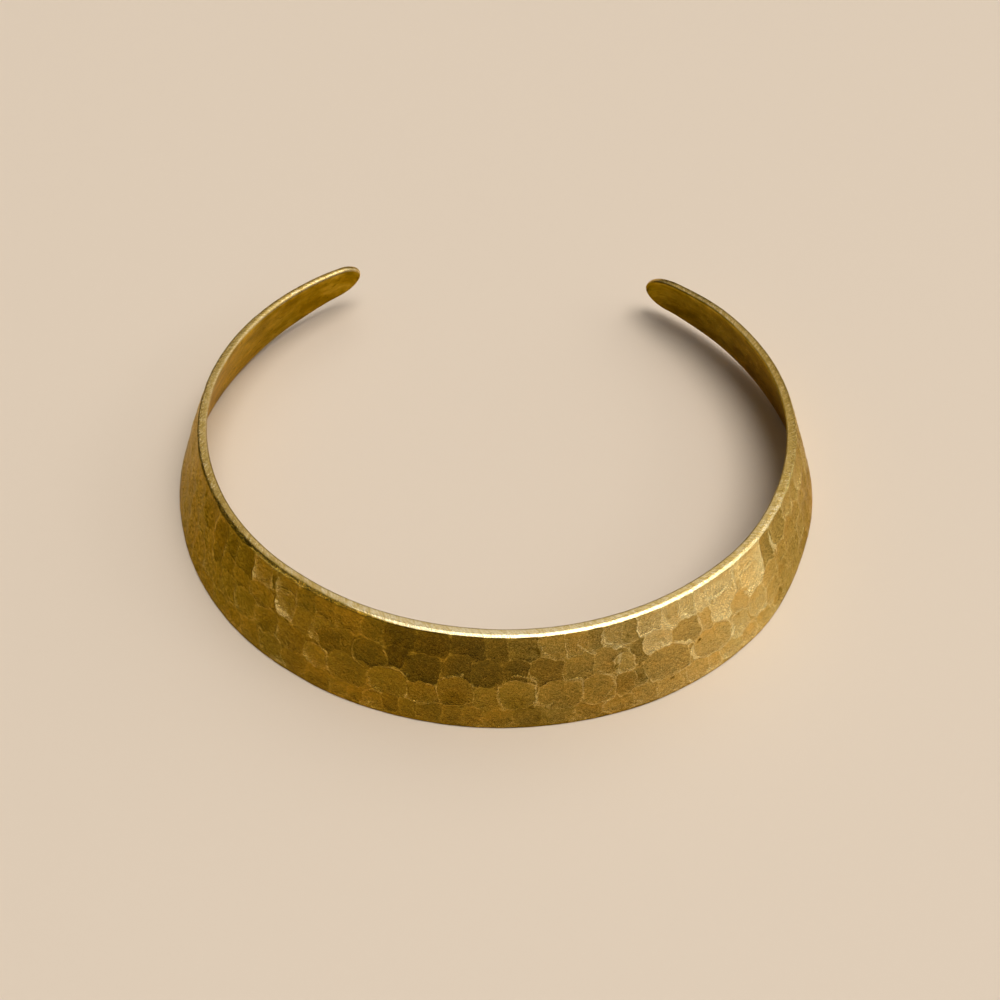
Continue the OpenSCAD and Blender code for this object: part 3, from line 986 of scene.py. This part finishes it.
wide_mottle = brass.cloud(spot_on_band, 0.09, 3.0, 0.5)
mottle = brass.cloud(spot_on_band, 0.5, 4.0, 0.6)
grain = brass.cloud(spot_on_band, 1.4, 4.0, 0.7, 0.4)
fine = brass.cloud(spot_on_band, 3.2, 3.0, 0.8)
coarse = brass.cloud(spot_on_band, 2.3, 4.0, 0.75, 0.6, (0.55, 1.0, 1.0))
texture = mottle * 0.25 + grain * 0.55 + fine * 1.6
texture = texture + coarse * brass.attribute("turned_away").held() * (7.0 - rubbed_off_and_sheen * 6.5)
print("clouds ready")

# %% [markdown]
# The strokes of the polishing cloth run aslant over the band. Clouds of noise become strokes
# when the coordinates are turned and squeezed before they are looked up. The pits are the
# peaks of a cloud that bends.

# %% Strokes and pits
band_along, band_down, band_deep = brass.parts(spot_on_band)
along_stroke = band_along * 0.80 + band_down * 0.60
across_stroke = band_down * 0.80 - band_along * 0.60
stroke_spot = brass.node("ShaderNodeCombineXYZ", {}, {0: along_stroke * 0.35, 1: across_stroke * 1.5})
cloth_strokes = brass.cloud(stroke_spot, 1.6, 4.0, 0.7)
pits = brass.cloud(spot_on_band, 1.1, 2.0, 0.6, 0.8).between(0.12, 0.22)
texture = texture + cloth_strokes * 0.7 - pits * 0.08
print("strokes ready")

# %% [markdown]
# Two kinds of fine line lie on the hammered side. The lips between the blows have been polished by cloth, so
# a thin pale line follows them, here wide and there lost, with a painted shade just outside it. And the
# hammer's own face was not quite smooth: where a cloud of noise crosses its middle value, it leaves
# hairlines like the arcs in the brightest dishes, and in those dishes they are painted pale as highlights. A
# wide and a narrow cloud together give long and short ones. The charted crests are broader and painted
# almost white, partly as bare metal and partly as a painted highlight of the window light along them.

# %% Lips, crests and wrinkles
past_outline = 0 - brass.attribute("to_lip")
lip_crisp = brass.attribute("lip")
lip_gap = past_outline.unsigned()
lip_wide = 0.14 + (mottle + 0.15).held() * 0.5
lip_line = ((1 - lip_gap.between(0.02, lip_wide)) * lip_crisp * (grain + 0.28).held() * 4.5).held()
# painted shade just outside the lip of each later blow
painted_shade_past_lip = past_outline.between(0.0, 0.15) * (1 - lip_gap.between(0.15, 0.8)) * lip_crisp * 2.0

# crest lines: bare metal on the crests, and a painted highlight of the window light along them
ragged_crest = brass.attribute("crest") + grain + fine * 0.6 + mottle * 0.6
crest_wear_and_highlight = ragged_crest.between(0.42, 0.80) * brass.attribute("crest_bright")

wide_lines = brass.cloud(spot_on_band, 0.8, 4.0, 0.6, 1.6, (0.75, 1.1, 1.0)).unsigned()
short_lines = brass.cloud(spot_on_band, 1.7, 3.0, 0.6, 1.2, (0.8, 1.0, 1.0)).unsigned()
wrinkles = (1 - wide_lines.between(0.0, 0.03)) + (1 - short_lines.between(0.0, 0.035)) * 0.7
wrinkles = wrinkles.held()
# in bright and in worn upper dishes the hairlines are painted pale as highlights
worn_upper_sheen = (rubbed_off_and_sheen * 1.4 - 0.5).held() * band_down.between(9.0, 3.0)
wrinkle_highlight_share = (blow_tone * 1.6 - 0.2 + worn_upper_sheen * 0.35).held()
print("lines ready")

# %% [markdown]
# The colour of the hammered side is the skin's, and the bare metal's where it has been rubbed
# through. Rubbing doesn't thin the skin evenly: it breaks up along the texture, so the bare
# share is the texture cut off at a height that the wear chart sets. In the darkest dishes a few
# grains glint. At the end the colour is multiplied by a hue that drifts between greener and
# redder brass in clouds and by the charts.

# %% Colour of the hammered side
SKIN_STOPS = (
    (0.05, (0.116, 0.069, 0.006)), (0.32, (0.238, 0.142, 0.010)),
    (0.60, (0.400, 0.238, 0.016)), (0.95, (0.62, 0.39, 0.046)))
BARE_STOPS = ((0.05, (0.38, 0.26, 0.065)), (0.5, (0.84, 0.61, 0.195)), (0.95, (1.0, 0.82, 0.38)))
GLINT = (0.85, 0.72, 0.36, 1)
GREENER, REDDER = (0.94, 1.03, 1.16, 1), (1.05, 0.96, 0.84, 1)

# the blow's tone darkens olive dishes as skin colour and lightens bright ones as a painted sheen
skin = 0.45 + blow_tone * 0.40 + texture * 0.8 + wide_mottle * 0.4 - stain_and_shade_mask * 0.5
# pale polished lips, with painted shade just outside them
skin = skin + lip_line * 0.31 - painted_shade_past_lip * 0.12
# pale crests and the pale hairlines of bright dishes are painted highlights
skin = skin + crest_wear_and_highlight * 0.40 + (wrinkles - 0.3) * wrinkle_highlight_share * 0.85

# the wear value is real wear, and on the right front also a painted sheen
rubbed_and_sheen_squared = rubbed_off_and_sheen * rubbed_off_and_sheen
bare_value = 0.23 + rubbed_off_and_sheen * 0.30 + rubbed_and_sheen_squared * 0.08 + blow_tone * 0.58 + texture * 0.95
bare_value = bare_value - stain_and_shade_mask * 0.6 + lip_line * 0.46 - painted_shade_past_lip * 0.14
# crests and the hairlines of bright dishes lightened as painted highlights
bare_value = bare_value + crest_wear_and_highlight * 0.9 + (wrinkles - 0.2) * wrinkle_highlight_share * 0.3

bare_share = (rubbed_off_and_sheen * 1.35 - 0.1 + texture * 0.6 - stain_and_shade_mask).held() * (0.3 + rubbed_off_and_sheen * 0.7)
bare_share = bare_share + lip_line * (rubbed_and_sheen_squared * 0.6 + 0.03) + crest_wear_and_highlight * (rubbed_and_sheen_squared + 0.09)
bare_share = (bare_share + (wrinkles - 0.25) * wrinkle_highlight_share * 0.5).held()

outside_colour = brass.blend(
    bare_share, brass.ramp(skin.held(), SKIN_STOPS), brass.ramp(bare_value.held(), BARE_STOPS))
glint = ((fine - 0.16).held() * (0 - blow_tone * 1.5 - 0.6).held() * 12).held()
outside_colour = brass.blend(glint, outside_colour, GLINT)
redder = 0.5 + brass.attribute("warmth") * 0.4 + wide_mottle * 1.3 + mottle * 1.3
hue = brass.blend((redder + grain * 1.2).held(), GREENER, REDDER)
outside_colour = brass.blend(1.0, outside_colour, hue, "MULTIPLY")
print("hammered side ready")

# %% [markdown]
# The inside was never hammered. It is smooth, with soft patches, faint streaks along the band
# from bending and a few dark specks. The rim was filed flat with slanting strokes. The more the
# skin has gone from it, the less the strokes show, and on the chamfer they nearly vanish.

# %% Colour of the inside and the rim
INSIDE_STOPS = (
    (0.15, (0.15, 0.090, 0.002)), (0.5, (0.27, 0.155, 0.004)),
    (0.9, (0.52, 0.33, 0.035)), (1.0, (0.66, 0.43, 0.045)))
FILED_STOPS = (
    (0.0, (0.38, 0.24, 0.050)), (0.35, (0.64, 0.44, 0.13)),
    (0.62, (0.84, 0.69, 0.40)), (1.0, (0.88, 0.79, 0.5)))
INSIDE_HUE_SHARE = 0.8

streaks = brass.cloud(spot_on_band, 1.1, 4.0, 0.65, 0.0, (0.10, 0.9, 1.0))
soft_patches = brass.cloud(spot_on_band, 0.28, 3.0, 0.55, 0.0, (0.6, 1.0, 1.0))
specks = brass.cloud(spot_on_band, 0.7, 2.0, 0.5, 0.0, (0.5, 1.0, 1.0)).between(0.16, 0.24)
inside_value = 0.15 + streaks * 0.5 + soft_patches * 1.1 + mottle * 0.5 + fine * 0.5
inside_value = inside_value + rubbed_off_and_sheen * 0.9 - specks * 0.5
inside_colour = brass.ramp(inside_value.held(), INSIDE_STOPS)
inside_colour = brass.blend(INSIDE_HUE_SHARE, inside_colour, hue, "MULTIPLY")

slanting = {0: band_along + band_deep * 0.9, 1: band_deep * 0.22}
strokes = brass.cloud(brass.node("ShaderNodeCombineXYZ", {}, slanting), 2.6, 4.0, 0.75, 0.3)
stroke_share = (1 - rubbed_off_and_sheen) * 2.6
filed_skin = rubbed_off_and_sheen + strokes * stroke_share + mottle * 0.4 + fine * stroke_share * 0.8
filed_colour = brass.ramp(filed_skin.held(), FILED_STOPS)
print("inside and rim ready")

# %% [markdown]
# The three colours meet by their masks. Polished places are smoother than the skin, and a bump
# adds the finest relief, too small for the mesh: hammer grain, wrinkles, lips and file strokes.
# The clouds wander about zero, and so does the relief that fades out at the filed edges. If it
# lay higher, the fading itself would be a slope, and it would show as a false groove.

# %% Put the brass together
BUMP_HIGH = 0.2 * MM
EDGE_TINT = (0.88, 0.72, 0.42, 1)

colour = brass.blend(inner_side, outside_colour, inside_colour)
colour = brass.blend(edge_filed, colour, filed_colour)
roughness = 0.23 - texture * 0.10 - lip_line * 0.04 - crest_wear_and_highlight * 0.05
roughness = roughness + edge_filed * 0.03 + inner_side * 0.07
relief = grain * 0.6 + mottle * 0.9 + fine * 0.3 + cloth_strokes * 0.4
relief = relief + lip_line * 0.25 + wrinkles * (wrinkle_highlight_share * 0.3 + 0.06) + crest_wear_and_highlight * 0.9
relief = relief * (1 - edge_filed) * (1 - inner_side * 0.6) + strokes * edge_filed * 0.6
bump = brass.node("ShaderNodeBump", {}, {"Strength": 0.8, "Distance": BUMP_HIGH, "Height": relief})
finish = brass.node("ShaderNodeBsdfPrincipled", {}, {
    "Base Color": colour, "Metallic": 1.0, "Roughness": roughness, "Normal": bump,
    "Specular Tint": EDGE_TINT})
brass.deliver(finish)
collar.data.materials.clear()
collar.data.materials.append(brass.material)
print("nodes in the brass:", len(brass.tree.nodes))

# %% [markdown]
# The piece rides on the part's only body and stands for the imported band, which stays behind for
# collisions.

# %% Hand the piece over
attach(collar, "root")
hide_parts(BAND)

# %% [markdown]
# The table is one large plane, pale and matt, so that nothing on it draws the eye. A small lamp
# far off on the right gives a little direction to the light of the dome, which comes next.

# %% Floor and lamp
FLOOR_SIDE = 6.0
PALE = (0.753, 0.639, 0.516, 1)
LAMP_PLACE = Vector((3.0, -0.5, 1.9))
LAMP_SIDE, LAMP_POWER = 0.7, 6.0

deselect_all()
bpy.ops.mesh.primitive_plane_add(size=FLOOR_SIDE, location=(0, 0, 0))
floor = bpy.context.object
floor.name = "floor"
pale = Bench("pale_floor")
pale.deliver(pale.node("ShaderNodeBsdfPrincipled", {}, {"Base Color": PALE, "Roughness": 0.75}))
floor.data.materials.append(pale.material)

bpy.ops.object.light_add(type="AREA", location=LAMP_PLACE)
lamp = bpy.context.object
lamp.name = "window_right"
lamp.rotation_euler = (-LAMP_PLACE).to_track_quat("-Z", "Y").to_euler()
lamp.data.size = LAMP_SIDE
lamp.data.energy = LAMP_POWER
lamp.data.color = (1.0, 0.97, 0.92)
print("lamp cm away:", round(LAMP_PLACE.length * 100))

# %% [markdown]
# The dome is dark but for a few soft patches, and that is what gives hammered brass its life:
# each facet mirrors another part of the room. Most of the light falls from a soft panel
# overhead and a little to the right, which keeps the shadows close to the band. A small bright
# patch beside it makes the line along the inner corner of the left tip. A pale strip behind the
# table lights the flat of the rim, a low window on the right lights the hammered side there,
# and two faint patches keep the other edges from going black.

# %% Light from the dome
# where a patch lies, the cosines between which it fades in, and its strength
PATCHES = (
    ((0.24, -0.14, 0.96), 0.905, 0.965, 5.0), ((0.52, 0.16, 0.84), 0.965, 0.99, 2.4),
    ((0.03, 0.62, 0.70), 0.90, 0.985, 1.25), ((0.78, 0.47, 0.41), 0.85, 0.97, 0.85),
    ((0.62, -0.55, 0.56), 0.88, 0.98, 0.35), ((-0.68, -0.08, 0.73), 0.88, 0.985, 0.12),
)
DARK_ROOM = 0.05

room = bpy.data.worlds.new("room")
room.use_nodes = True
bpy.context.scene.world = room
dome = Bench("dome", room.node_tree)
looking = dome.node("ShaderNodeTexCoord", {}, {}, "Generated")
light = DARK_ROOM
for towards, start, end, strength in PATCHES:
    facing = {0: looking, 1: Vector(towards).normalized()}
    facing_it = dome.node("ShaderNodeVectorMath", {"operation": "DOT_PRODUCT"}, facing, "Value")
    light = light + facing_it.between(start, end) * strength
backdrop = dome.node("ShaderNodeBackground", {}, {"Color": (1.0, 0.965, 0.92, 1), "Strength": light})
dome.deliver(backdrop, "ShaderNodeOutputWorld")
bpy.context.scene.view_settings.view_transform = "Standard"
print("patches of light:", len(PATCHES))
